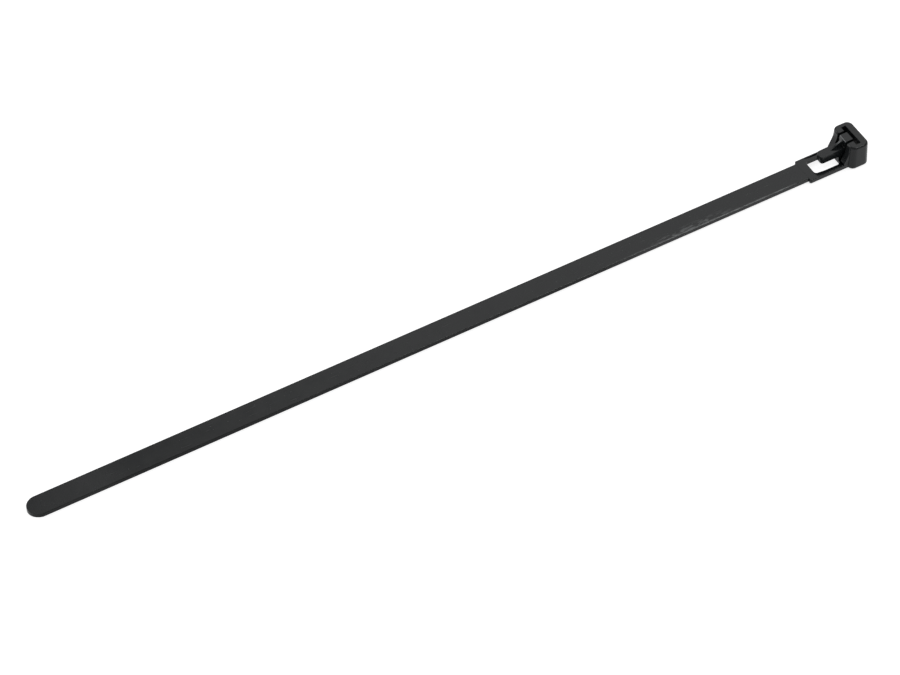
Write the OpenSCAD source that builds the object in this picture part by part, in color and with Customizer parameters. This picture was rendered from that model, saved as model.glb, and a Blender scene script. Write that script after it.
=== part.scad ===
// Releasable cable tie, moulded in one piece: strap, neck, box head, pawl and thumb lever.
// It lies smooth side up, teeth down, with the tail towards -X and the head towards +X.

/* [Strap] */
// Overall length, from the tail's tip to the back of the head
overall_l = 300; // [150:1:400]
// Width of the strap
strap_w = 7.6; // [7:0.1:8]
// Thickness of the strap
strap_t = 1.5; // [1.4:0.05:1.5]
// Length of the rounded tip
tip_l = 4.4; // [3:0.1:8]
// Radius along the strap's long edges
strap_edge_r = 0.2; // [0.1:0.05:0.4]

/* [Teeth] */
// Distance from one tooth to the next
tooth_pitch = 1.8; // [1.4:0.1:2.4]
// Height of a tooth
tooth_h = 0.5; // [0.3:0.05:0.6]
// Width of the plain rail on each side of the teeth
rail_w = 1.1; // [0.8:0.1:1.6]
// Length of the plain tail ahead of the first tooth
tail_plain_l = 21; // [10:1:40]
// Length of plain strap between the last tooth and the neck
neck_plain_l = 6; // [3:1:20]

/* [Neck] */
// Length of the wide neck, from its step to the pawl's locking face
neck_l = 17.7; // [16.5:0.1:22]
// Width of the neck
neck_w = 9.7; // [9:0.1:10.4]
// Thickness of the neck
neck_t = 1.6; // [1.55:0.05:1.8]
// Radius of the neck's corners at the step
neck_corner_r = 0.6; // [0.3:0.1:1]
// Length of the window under the lever
window_l = 10; // [9:0.1:10.4]
// Width of the window
window_w = 5.9; // [5:0.1:6.4]
// Radius of the window's corners at the tail's end
window_r = 0.9; // [0.4:0.1:1.2]
// Radius of the window's corners beside the living hinge
window_hinge_r = 1.4; // [0.6:0.1:1.6]
// Depth of the ledge sunk around the window
recess_d = 0.4; // [0.2:0.05:0.5]
// Width of the rim left outside the ledge
rim_w = 0.5; // [0.4:0.1:0.8]

/* [Head] */
// Height of the head above the surface that the tie lies on
head_h = 9.15; // [8.8:0.05:10]
// Width of the head at its top
head_w = 12.2; // [11.8:0.1:13]
// How much further the head's sides and back stand out at its bottom
draft = 0.3; // [0:0.05:0.4]
// Thickness of the wall behind the slot
back_wall_t = 2.6; // [2.3:0.1:3]
// Length of the two ears in front of the slot
ear_l = 2.5; // [2.3:0.1:2.8]
// Width of the mouth between the ears
mouth_w = 5.4; // [5:0.1:6]
// Radius of the head's upright corners
head_corner_r = 2.1; // [1:0.1:2.2]
// Radius of the head's top and bottom edges
head_edge_r = 0.65; // [0.3:0.05:0.8]
// How far the head reaches below the neck
head_drop = 0.3; // [0.2:0.05:0.5]

/* [Slot] */
// Length of the slot that the tail passes through
slot_w = 8.9; // [8.5:0.1:9.3]
// Thickness of the slot between the ears and the back wall
slot_t = 1.75; // [1.6:0.05:2]
// Flare of the slot's lower mouth, where the tail enters
lead_in = 0.5; // [0.2:0.1:0.8]

/* [Pawl] */
// Width of the pawl
pawl_w = 3.5; // [3:0.1:4]
// Thickness of the pawl along the strap
pawl_l = 2.8; // [2.4:0.1:3]
// How far the pawl stands into the slot
pawl_reach = 0.45; // [0.4:0.05:0.6]
// Thickness of the living hinge
hinge_t = 1; // [0.8:0.1:1.2]
// Number of locking teeth on the pawl
pawl_teeth = 3; // [2:1:3]

/* [Lever] */
// Distance from the pawl's locking face to the lever's tip
lever_l = 11.8; // [11:0.1:12.5]
// Width of the lever
lever_w = 3.3; // [2.8:0.1:3.6]
// Thickness of the lever
lever_t = 2.75; // [2.4:0.05:3]
// Thickness of the rib that braces the pawl
rib_t = 0.6; // [0.4:0.1:0.8]

/* [Hidden] */
nylon = "#26282a";
overlap = 1;
arc_steps = 6;

// Places along the tie, measured from the pawl's locking face at x = 0
slot_front_x = -pawl_reach;
slot_back_x = slot_front_x + slot_t;
head_back_x = slot_back_x + back_wall_t;
ear_front_x = slot_front_x - ear_l;
gusset_foot_x = ear_front_x - 1.8;
window_back_x = ear_front_x - 1.85;
window_front_x = window_back_x - window_l;
step_x = -neck_l;
lever_tip_x = -lever_l;
tail_x = head_back_x + draft - overall_l;

// Heights above the surface that the tie lies on
neck_top_z = head_drop + neck_t;
ledge_z = neck_top_z - recess_d;
lever_z = head_drop + 3;
lever_top_z = lever_z + lever_t;
lever_root_z = lever_top_z + 0.3;
pawl_z = head_drop + 2.8;
gusset_z = head_drop + 5.4;

// The strap leaves the neck level with its top, and comes down to the surface at the tail
strap_drop = neck_top_z - strap_t - 0.03;
strap_l = step_x + overlap - tail_x;
strap_tilt = asin(strap_drop / strap_l);

// Points of a corner rounded to radius r, between the neighbours before and after it
function unit(v) = v / norm(v);
function corner_arc(before, at, after, r) =
    let (
        u = unit(before - at),
        v = unit(after - at),
        half = acos(u * v) / 2,
        centre = at + unit(u + v) * r / sin(half),
        start = at + u * r / tan(half) - centre,
        sweep = (180 - 2 * half) * sign(u[1] * v[0] - u[0] * v[1])
    )
    r == 0 ? [at] : [for (i = [0 : arc_steps])
        let (turn = sweep * i / arc_steps)
        centre + [
            start[0] * cos(turn) - start[1] * sin(turn),
            start[0] * sin(turn) + start[1] * cos(turn)
        ]];

// Outline through corners given as [x, y, radius]
function rounded(corners) =
    let (n = len(corners))
    [for (i = [0 : n - 1])
        let (
            before = corners[(i + n - 1) % n],
            at = corners[i],
            after = corners[(i + 1) % n]
        )
        each corner_arc([before[0], before[1]], [at[0], at[1]], [after[0], after[1]], at[2])];

// A side view, drawn in x and z, given a width along y
module side_extrude(width) {
    rotate([90, 0, 0]) linear_extrude(width, center = true) children();
}

// An end view, drawn in y and z, given a length along x from x0 to x1
module end_extrude(x0, x1) {
    translate([x0, 0, 0])
        rotate([90, 0, 90]) linear_extrude(x1 - x0) children();
}

// Plan of the strap: straight sides and a tip that is half an ellipse
function strap_plan() =
    let (steps = 24, half_w = strap_w / 2)
    concat(
        [[0, -half_w], [0, half_w]],
        [for (i = [0 : steps])
            let (turn = 90 + 180 * i / steps)
            [-strap_l + tip_l + tip_l * cos(turn), half_w * sin(turn)]]
    );

// Lower outline of the teeth: each one rises towards the head and ends in a steep locking face
function tooth_line(first_x, count) =
    [for (i = [0 : count - 1])
        let (x = first_x + i * tooth_pitch)
        each [
            [x, tooth_h],
            [x + tooth_pitch * 0.72, 0.08],
            [x + tooth_pitch * 0.82, 0.08],
            [x + tooth_pitch * 0.9, tooth_h]
        ]];

module strap_teeth_cut() {
    first_x = -strap_l + tail_plain_l;
    room = strap_l - overlap - tail_plain_l - neck_plain_l;
    count = floor(room / tooth_pitch);
    line = tooth_line(first_x, count);
    last_x = first_x + count * tooth_pitch;
    side_extrude(strap_w - 2 * rail_w)
        polygon(concat([[first_x, -1]], line, [[last_x, tooth_h], [last_x, -1]]));
}

module strap() {
    r = strap_edge_r;
    half_w = strap_w / 2;
    translate([step_x + overlap, 0, strap_drop])
        rotate([0, -strap_tilt, 0])
            difference() {
                intersection() {
                    linear_extrude(strap_t) polygon(strap_plan());
                    end_extrude(-strap_l - 1, 1)
                        polygon(rounded([
                            [-half_w, 0, r / 2], [half_w, 0, r / 2],
                            [half_w, strap_t, r], [-half_w, strap_t, r]
                        ]));
                }
                strap_teeth_cut();
            }
}

// Neck plate, running on under the head as its floor
module neck() {
    r = strap_edge_r;
    half_w = neck_w / 2;
    intersection() {
        translate([0, 0, head_drop])
            linear_extrude(neck_t)
                polygon(rounded([
                    [step_x, -half_w, neck_corner_r], [slot_back_x + overlap, -half_w, 0],
                    [slot_back_x + overlap, half_w, 0], [step_x, half_w, neck_corner_r]
                ]));
        end_extrude(step_x - 1, head_back_x)
            polygon(rounded([
                [-half_w, head_drop, r / 2], [half_w, head_drop, r / 2],
                [half_w, neck_top_z, r], [-half_w, neck_top_z, r]
            ]));
    }
}

module window_cut() {
    half_w = window_w / 2;
    translate([0, 0, head_drop - 1])
        linear_extrude(neck_t + 2)
            polygon(rounded([
                [window_front_x, -half_w, window_r], [window_back_x, -half_w, window_hinge_r],
                [window_back_x, half_w, window_hinge_r], [window_front_x, half_w, window_r]
            ]));
}

// Ledge sunk around the window, running in on a slope from the tail's side. It dips towards
// the window, and ends in a round under the pawl.
module ledge_cut() {
    outer = neck_w / 2 - rim_w;
    dip_y = window_w / 2 + 0.8;
    inner = window_w / 2;
    dip_z = ledge_z - 0.1;
    start_x = window_front_x - 0.3;
    end_x = ear_front_x + 0.4;
    intersection() {
        linear_extrude(head_h)
            polygon(rounded([
                [start_x - 1, -outer, 0], [end_x, -outer, 2.2],
                [end_x, outer, 2.2], [start_x - 1, outer, 0]
            ]));
        end_extrude(start_x - 1, end_x + 1)
            polygon([
                [-outer - 1, neck_top_z + 1], [-outer - 1, ledge_z], [-dip_y, ledge_z],
                [-inner, dip_z], [inner, dip_z],
                [dip_y, ledge_z], [outer + 1, ledge_z], [outer + 1, neck_top_z + 1]
            ]);
        side_extrude(neck_w)
            polygon([
                [start_x, neck_top_z + 0.01], [start_x + 4, dip_z], [end_x + 1, dip_z],
                [end_x + 1, neck_top_z + 0.6], [start_x, neck_top_z + 0.6]
            ]);
    }
}

// One level of the head's outline, drawn in by an inset
function head_ring(z, inset) =
    let (
        spread = draft * (1 - z / head_h) - inset,
        front_x = ear_front_x - spread,
        back_x = head_back_x + spread,
        half_w = head_w / 2 + spread,
        r = head_corner_r - inset
    )
    [for (p = rounded([
        [front_x, -half_w, r], [back_x, -half_w, r], [back_x, half_w, r], [front_x, half_w, r]
    ])) [p[0], p[1], z]];

// Rings from the head's foot to its top, round both edges
head_rings = let (r = head_edge_r) concat(
    [for (turn = [0 : 22.5 : 90]) head_ring(r - r * cos(turn), r - r * sin(turn))],
    [for (turn = [0 : 22.5 : 90]) head_ring(head_h - r + r * sin(turn), r - r * cos(turn))]
);

// A closed solid through a stack of rings that all have the same number of points
module ring_solid(rings) {
    n = len(rings[0]);
    top = len(rings) - 1;
    polyhedron(
        points = [for (ring = rings) each ring],
        faces = concat(
            [[for (i = [0 : n - 1]) i]],
            [[for (i = [n - 1 : -1 : 0]) top * n + i]],
            [for (k = [0 : top - 1]) for (i = [0 : n - 1])
                let (next = (i + 1) % n)
                [k * n + i, (k + 1) * n + i, (k + 1) * n + next, k * n + next]]
        )
    );
}

// Head with two gussets down onto the neck
module head_block() {
    difference() {
        union() {
            ring_solid(head_rings);
            gussets();
        }
        mouth_cut();
    }
}

// Braces from the ears' front faces down onto the rails
module gussets() {
    side_extrude(neck_w - 0.1)
        polygon(rounded([
            [slot_front_x, head_drop + 0.3, 0], [gusset_foot_x, head_drop + 0.3, 0],
            [gusset_foot_x, head_drop + 2.2, 0.4], [ear_front_x - 0.45, gusset_z, 3],
            [ear_front_x + 0.1, head_h - 1.5, 0], [slot_front_x, head_h - 1.5, 0]
        ]));
}

// Slot for the tail, flared at its lower mouth
module slot_cut() {
    side_extrude(slot_w)
        polygon([
            [slot_front_x, -1], [slot_front_x - lead_in, -1], [slot_front_x - lead_in, 0],
            [slot_front_x, lead_in * 1.6], [slot_front_x, head_h + 1],
            [slot_back_x, head_h + 1], [slot_back_x, lead_in * 1.6],
            [slot_back_x + lead_in, 0], [slot_back_x + lead_in, -1]
        ]);
}

// Open front of the head, down to the neck
module mouth_cut() {
    translate([gusset_foot_x - 1, -mouth_w / 2, neck_top_z])
        cube([slot_front_x - gusset_foot_x + 1.2, mouth_w, head_h]);
}

// Corners of the locking teeth on the pawl's back, from the top down: steep faces up, ramps down
function pawl_back() =
    [for (i = [0 : pawl_teeth - 1])
        let (z = head_h - i * tooth_pitch)
        each [
            [0, z, 0], [0, z - 0.2, 0],
            [-tooth_h, z - 0.8 * tooth_pitch, 0], [-tooth_h, z - tooth_pitch, 0]
        ]];

// Side view of the pawl and its lever, on the living hinge that stands at the window's edge
module pawl_side() {
    hinge_front_x = window_back_x - 0.08;
    hinge_back_x = hinge_front_x + hinge_t;
    hinge_foot_z = neck_top_z - 0.8;
    polygon(rounded(concat(
        [
            [hinge_back_x, pawl_z, 0.4],
            [hinge_back_x, hinge_foot_z, 0],
            [hinge_front_x, hinge_foot_z, 0],
            [hinge_front_x, lever_z, 0.8],
            [lever_tip_x, lever_z, 0.35],
            [lever_tip_x, lever_top_z, 0.3],
            [-pawl_l, lever_root_z, 0.4],
            [-pawl_l, head_h, 0.45]
        ],
        pawl_back(),
        [[-tooth_h, pawl_z, 0.3]]
    )));
}

module pawl_and_lever() {
    lever_end_r = 1.1;
    root_x = -pawl_l + 0.01;
    intersection() {
        side_extrude(pawl_w) pawl_side();
        linear_extrude(head_h + 1)
            polygon(rounded([
                [lever_tip_x, -lever_w / 2, lever_end_r], [root_x, -lever_w / 2, 0],
                [root_x, -pawl_w / 2, 0], [1, -pawl_w / 2, 0],
                [1, pawl_w / 2, 0], [root_x, pawl_w / 2, 0],
                [root_x, lever_w / 2, 0], [lever_tip_x, lever_w / 2, lever_end_r]
            ]));
    }
}

// Thin brace between the pawl's front and the lever's top
module rib() {
    side_extrude(rib_t)
        polygon([
            [-pawl_l + 0.5, lever_top_z - 0.5], [-pawl_l + 0.5, head_h - 0.65],
            [-pawl_l - 1.1, head_h - 0.8], [-pawl_l - 5.1, lever_top_z - 0.1],
            [-pawl_l - 4.6, lever_top_z - 0.5]
        ]);
}

module cable_tie() {
    color(nylon)
        translate([overall_l / 2 - head_back_x - draft, 0, 0])
            union() {
                strap();
                difference() {
                    union() {
                        neck();
                        head_block();
                    }
                    window_cut();
                    ledge_cut();
                    slot_cut();
                }
                pawl_and_lever();
                rib();
            }
}

cable_tie();
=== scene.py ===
"""A releasable cable tie, injection moulded in black nylon, lying flat on a white table."""

import math

import bmesh
import bpy
from mathutils import Matrix, Vector


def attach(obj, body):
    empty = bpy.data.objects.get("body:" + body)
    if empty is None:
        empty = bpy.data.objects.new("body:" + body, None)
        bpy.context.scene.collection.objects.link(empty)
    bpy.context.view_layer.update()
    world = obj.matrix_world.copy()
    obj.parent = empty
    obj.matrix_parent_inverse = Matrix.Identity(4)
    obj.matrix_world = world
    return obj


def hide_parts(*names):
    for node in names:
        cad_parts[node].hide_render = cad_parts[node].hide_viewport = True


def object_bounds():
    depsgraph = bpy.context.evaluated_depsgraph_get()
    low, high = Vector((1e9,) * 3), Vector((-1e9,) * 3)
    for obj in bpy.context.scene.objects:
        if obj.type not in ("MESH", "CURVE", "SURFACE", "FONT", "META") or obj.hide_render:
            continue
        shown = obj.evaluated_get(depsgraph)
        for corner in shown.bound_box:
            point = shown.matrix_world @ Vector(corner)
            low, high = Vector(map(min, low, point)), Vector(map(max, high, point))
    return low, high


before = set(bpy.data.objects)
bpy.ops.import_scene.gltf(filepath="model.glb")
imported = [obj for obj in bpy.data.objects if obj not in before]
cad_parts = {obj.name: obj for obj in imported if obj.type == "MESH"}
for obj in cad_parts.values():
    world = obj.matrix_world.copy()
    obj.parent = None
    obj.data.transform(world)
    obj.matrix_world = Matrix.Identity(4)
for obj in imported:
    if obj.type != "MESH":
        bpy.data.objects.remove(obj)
cad_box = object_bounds()

# ---------------------------------------------------------------------------------------------
# The tie's body. One shot of polyamide 6.6: strap, teeth, neck, head, pawl and lever come out of
# the mould together. The steel of the mould leaves its outer edges faintly rounded, because the
# cutters that made it and the nylon that fills it never reach a dead sharp corner.

MM = 0.001
EDGE_RADIUS = 0.12 * MM
SHARP_EDGE = math.radians(40)
FLAT_JOIN = math.radians(1)
SAME_PLACE = 0.0004 * MM


def moulded_copy(node, name):
    """A merged copy of a CAD node whose sharp edges are rounded as a mould leaves them."""
    mesh = bmesh.new()
    mesh.from_mesh(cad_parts[node].data)
    bmesh.ops.remove_doubles(mesh, verts=mesh.verts, dist=SAME_PLACE)
    bmesh.ops.dissolve_limit(
        mesh, angle_limit=FLAT_JOIN, verts=mesh.verts, edges=mesh.edges, delimit=set()
    )
    data = bpy.data.meshes.new(name)
    mesh.to_mesh(data)
    mesh.free()
    piece = bpy.data.objects.new(name, data)
    bpy.context.scene.collection.objects.link(piece)
    return piece


tie = moulded_copy("cable_tie", "moulded_tie")
tie.data.shade_smooth()
rounding = tie.modifiers.new("mould_radius", "BEVEL")
rounding.width = EDGE_RADIUS
rounding.segments = 2
rounding.limit_method = "ANGLE"
rounding.angle_limit = SHARP_EDGE
flat_faces = tie.modifiers.new("flat_faces_stay_flat", "WEIGHTED_NORMAL")
flat_faces.mode = "FACE_AREA"
flat_faces.weight = 100
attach(tie, "root")
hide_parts("cable_tie")


def linear(hex_colour):
    """An sRGB hex colour as the linear RGBA that the shader takes."""
    parts = [int(hex_colour[i:i + 2], 16) / 255 for i in (1, 3, 5)]
    return [p / 12.92 if p <= 0.04045 else ((p + 0.055) / 1.055) ** 2.4 for p in parts] + [1]


def add_node(tree, kind, inputs=None, links=None, **settings):
    """A shader node with its settings, its sockets' values, and links from other nodes' outputs."""
    node = tree.nodes.new(kind)
    for key, value in settings.items():
        setattr(node, key, value)
    for key, value in (inputs or {}).items():
        node.inputs[key].default_value = value
    for key, (source, output) in (links or {}).items():
        tree.links.new(source.outputs[output], node.inputs[key])
    return node


# Polyamide 6.6, moulded against polished steel: glossy black, faintly wavy, with a fine grain,
# specks and hair scratches. How strongly it mirrors, and where it is paler, follow the tones that
# the object shows from one side. They are matched by measure, and their cause is assumed.
# Nylon's own IOR is about 1.53; a lower one is matched to the darkness of the mirrored table.
MATCHED_IOR = 1.36
nylon = bpy.data.materials.new("moulded_black_nylon")
nylon.use_nodes = True
tree = nylon.node_tree
surface = tree.nodes["Principled BSDF"]
surface.inputs["IOR"].default_value = MATCHED_IOR

PER_MM = 1000
place = add_node(tree, "ShaderNodeTexCoord")
in_mm = add_node(
    tree, "ShaderNodeMapping", {"Scale": (PER_MM, PER_MM, PER_MM)}, {"Vector": (place, "Object")}
)


def noise(scale, detail, stretch=(1, 1, 1)):
    """Noise with so many features to the millimetre, stretched along the axes."""
    stretched = add_node(tree, "ShaderNodeMapping", {"Scale": stretch}, {"Vector": (in_mm, 0)})
    return add_node(
        tree, "ShaderNodeTexNoise", {"Scale": scale, "Detail": detail}, {"Vector": (stretched, 0)}
    )


def between(source, low, high, to_low, to_high, output=0):
    """A value taken from one range into another, and held at its ends."""
    return add_node(
        tree, "ShaderNodeMapRange",
        {"From Min": low, "From Max": high, "To Min": to_low, "To Max": to_high},
        {"Value": (source, output)}
    )


def joined(operation, first, second):
    """Two values put together by an operation."""
    return add_node(tree, "ShaderNodeMath", links={0: (first, 0), 1: (second, 0)}, operation=operation)


def both(first, second):
    """Where two masks overlap."""
    return joined("MULTIPLY", first, second)


def either(first, second):
    """Where one mask or the other lies."""
    return joined("MAXIMUM", first, second)


def bump(height, depth_mm, under=None):
    """A bump of so many millimetres, laid over another one if there is one."""
    links = {"Height": (height, 0)}
    if under:
        links["Normal"] = (under, 0)
    return add_node(tree, "ShaderNodeBump", {"Strength": 1, "Distance": depth_mm * MM}, links)


# Where each mask fades in or out: millimetres from the middle along the tie, from its centre line
# across it, or above the table
# The painted highlight along the upper edge, and the paler patch beside it
HIGHLIGHT_STARTS = (52, 84)
HIGHLIGHT_ENDS = (118, 124)
HIGHLIGHT_EDGE = (-3.15, -3.5)
PATCH_STARTS = (68, 76)
PATCH_ENDS = (90, 102)
PATCH_EDGE = (-0.8, -3.2)
# The painted highlight on the rib and the pawl's front edge
RIB_SIDE = (0.35, 0.45)
RIB_FOOT = (6.1, 6.4)
PAWL_SIDE = (1.9, 2.1)
PAWL_TOP = (8.2, 8.4)
RIB_TIP = (137.3, 137.6)
TIP_ENDS = (-126, -116)
TAIL_BRIGHTENS = (-100, -20)
TAIL_SIDE_ENDS = (48, 66)
HEAD_STARTS = (139, 142)

axes = add_node(tree, "ShaderNodeSeparateXYZ", links={"Vector": (in_mm, 0)})
geometry = add_node(tree, "ShaderNodeNewGeometry")
facing = add_node(tree, "ShaderNodeSeparateXYZ", links={"Vector": (geometry, "Normal")})
swell = noise(0.1, 2, (1, 0.3, 0.3))
grain = noise(3, 3)
patches = noise(0.3, 4)

# Specks of dust and hair scratches, all over
specks = between(noise(1.3, 2), 0.7, 0.74, 0, 1)
scratches = between(noise(1.2, 3, (0.12, 2.5, 2.5)), 0.68, 0.74, 0, 1)
marks = either(specks, scratches)

# A painted highlight, a pale line along one upper edge towards the neck, and a paler streaky patch
# beside it
upward = between(facing, 0.3, 0.7, 0, 1, output="Z")
highlight_length = both(between(axes, *HIGHLIGHT_STARTS, 0, 1), between(axes, *HIGHLIGHT_ENDS, 1, 0))
highlight_width = between(axes, *HIGHLIGHT_EDGE, 0, 1, output="Y")
edge_highlight = both(both(highlight_length, highlight_width), upward)
painted_edge_highlight = both(edge_highlight, between(patches, 0.35, 0.55, 0.45, 1))
patch_length = both(between(axes, *PATCH_STARTS, 0, 1), between(axes, *PATCH_ENDS, 1, 0))
patch_width = between(axes, *PATCH_EDGE, 0, 0.8, output="Y")
patch_streaks = between(noise(0.9, 3, (0.4, 1.5, 1)), 0.48, 0.62, 0, 1)
pale_patch = both(both(both(patch_length, patch_width), upward), patch_streaks)

# A painted highlight on the pawl's front edge and its rib, drawn paler than the rest
forward = both(
    between(facing, -0.25, -0.45, 0, 1, output="X"), between(facing, 0.1, 0.3, 0, 1, output="Z")
)
across = add_node(tree, "ShaderNodeMath", links={0: (axes, "Y")}, operation="ABSOLUTE")
on_rib = both(between(across, *RIB_SIDE, 1, 0), between(axes, *RIB_FOOT, 0, 1, output="Z"))
on_pawl = both(between(across, *PAWL_SIDE, 1, 0), between(axes, *PAWL_TOP, 0, 1, output="Z"))
painted_pawl_highlight = both(forward, both(either(on_rib, on_pawl), between(axes, *RIB_TIP, 0, 1)))

# Colour: near black, greyer in the marks, and greyest in the painted highlights and the pale patch
highlight_and_patch = either(either(painted_edge_highlight, pale_patch), painted_pawl_highlight)
marked = add_node(
    tree, "ShaderNodeMix", {"A": linear("#17191a"), "B": linear("#3b3d3e")},
    {"Factor": (between(marks, 0, 1, 0, 0.6), 0)}, data_type="RGBA"
)
colour = add_node(
    tree, "ShaderNodeMix", {"B": linear("#5c5e5f")}, {"A": (marked, "Result"), "Factor": (highlight_and_patch, 0)},
    data_type="RGBA"
)
tree.links.new(colour.outputs["Result"], surface.inputs["Base Color"])

# Roughness: polished steel's gloss in patches, a little duller in the marks
rough = joined("ADD", between(patches, 0.3, 0.7, 0.15, 0.24), between(marks, 0, 1, 0, 0.12))
tree.links.new(rough.outputs[0], surface.inputs["Roughness"])

# How strongly the skin mirrors: most on the plain tip, least just past it, and less on the sides
# of the strap's tail and of the head
past_tip = between(axes, *TIP_ENDS, 0.62, 0.41)
near_head = between(axes, *TAIL_BRIGHTENS, 0, 0.09)
top_gloss = joined("ADD", past_tip, near_head)
sideways = between(facing, 0.2, 0.6, 1, 0, output="Z")
on_tail = between(axes, *TAIL_SIDE_ENDS, 0.7, 0.3)
on_head = between(axes, *HEAD_STARTS, 0, 0.3)
dulled = between(both(sideways, either(on_tail, on_head)), 0, 1, 1, 0)
gloss = both(top_gloss, dulled)
tree.links.new(gloss.outputs[0], surface.inputs["Specular IOR Level"])

waviness = bump(swell, 0.04)
skin = bump(grain, 0.004, under=waviness)
tree.links.new(skin.outputs[0], surface.inputs["Normal"])
tie.data.materials.clear()
tie.data.materials.append(nylon)

# ---------------------------------------------------------------------------------------------
# The table, a sheet of opal acrylic lit from beneath, without an edge in view. Most of its white
# is its own light, so the tie casts next to no shadow on it.

TABLE_HALF_WIDTH = 3
floor_mesh = bmesh.new()
bmesh.ops.create_grid(floor_mesh, x_segments=1, y_segments=1, size=TABLE_HALF_WIDTH)
floor_data = bpy.data.meshes.new("table_top")
floor_mesh.to_mesh(floor_data)
floor_mesh.free()
floor = bpy.data.objects.new("table_top", floor_data)
bpy.context.scene.collection.objects.link(floor)
white = bpy.data.materials.new("opal_acrylic")
white.use_nodes = True
acrylic = white.node_tree.nodes["Principled BSDF"]
acrylic.inputs["Base Color"].default_value = (0.5, 0.5, 0.5, 1)
acrylic.inputs["Roughness"].default_value = 0.9
acrylic.inputs["Emission Color"].default_value = (1, 1, 1, 1)
acrylic.inputs["Emission Strength"].default_value = 0.76
floor_data.materials.append(white)

# ---------------------------------------------------------------------------------------------
# The light of a white product tent, so that the black nylon is drawn by what it mirrors: a broad
# roof over the far side, a smaller wall towards the tail, a key over the head's end that draws the
# near edges, and a dim surround.


def softbox(name, place, target, size, watts):
    """A square area light at a place, facing a target."""
    light = bpy.data.lights.new(name, "AREA")
    light.shape = "SQUARE"
    light.size = size
    light.energy = watts
    lamp = bpy.data.objects.new(name, light)
    bpy.context.scene.collection.objects.link(lamp)
    turn = (Vector(target) - Vector(place)).to_track_quat("-Z", "Y").to_matrix().to_4x4()
    lamp.matrix_world = Matrix.Translation(place) @ turn


middle = (cad_box[0][0] + cad_box[1][0]) / 2
softbox("tent_roof", (middle + 1.2, 1.0, 1.3), (middle + 0.25, 0.1, 0), 1.6, 7.9)
softbox("tent_side", (middle - 0.62, 0.98, 0.95), (middle + 0.14, 0, 0), 1.0, 8)
softbox("key", (middle + 0.57, -0.25, 1.25), (middle + 0.1, 0, 0), 0.35, 4.5)
world = bpy.data.worlds.new("studio")
world.use_nodes = True
world.node_tree.nodes["Background"].inputs["Color"].default_value = (1, 1, 1, 1)
world.node_tree.nodes["Background"].inputs["Strength"].default_value = 0.35
bpy.context.scene.world = world
bpy.context.scene.view_settings.view_transform = "Standard"

# ---------------------------------------------------------------------------------------------
# The camera, a long lens that looks down along the tie from the tail's end of its near side.

CAMERA_PLACE = (-0.40983, -0.69756, 0.91214)
CAMERA_AZIMUTH = math.radians(-30.214)
CAMERA_ELEVATION = math.radians(48.622)
camera_data = bpy.data.cameras.new("camera")
camera_data.lens = 156.17
camera_data.sensor_width = 36
camera_data.clip_end = 20
camera = bpy.data.objects.new("camera", camera_data)
bpy.context.scene.collection.objects.link(camera)
camera.location = CAMERA_PLACE
camera.rotation_euler = (math.pi / 2 - CAMERA_ELEVATION, 0, CAMERA_AZIMUTH)
bpy.context.scene.camera = camera
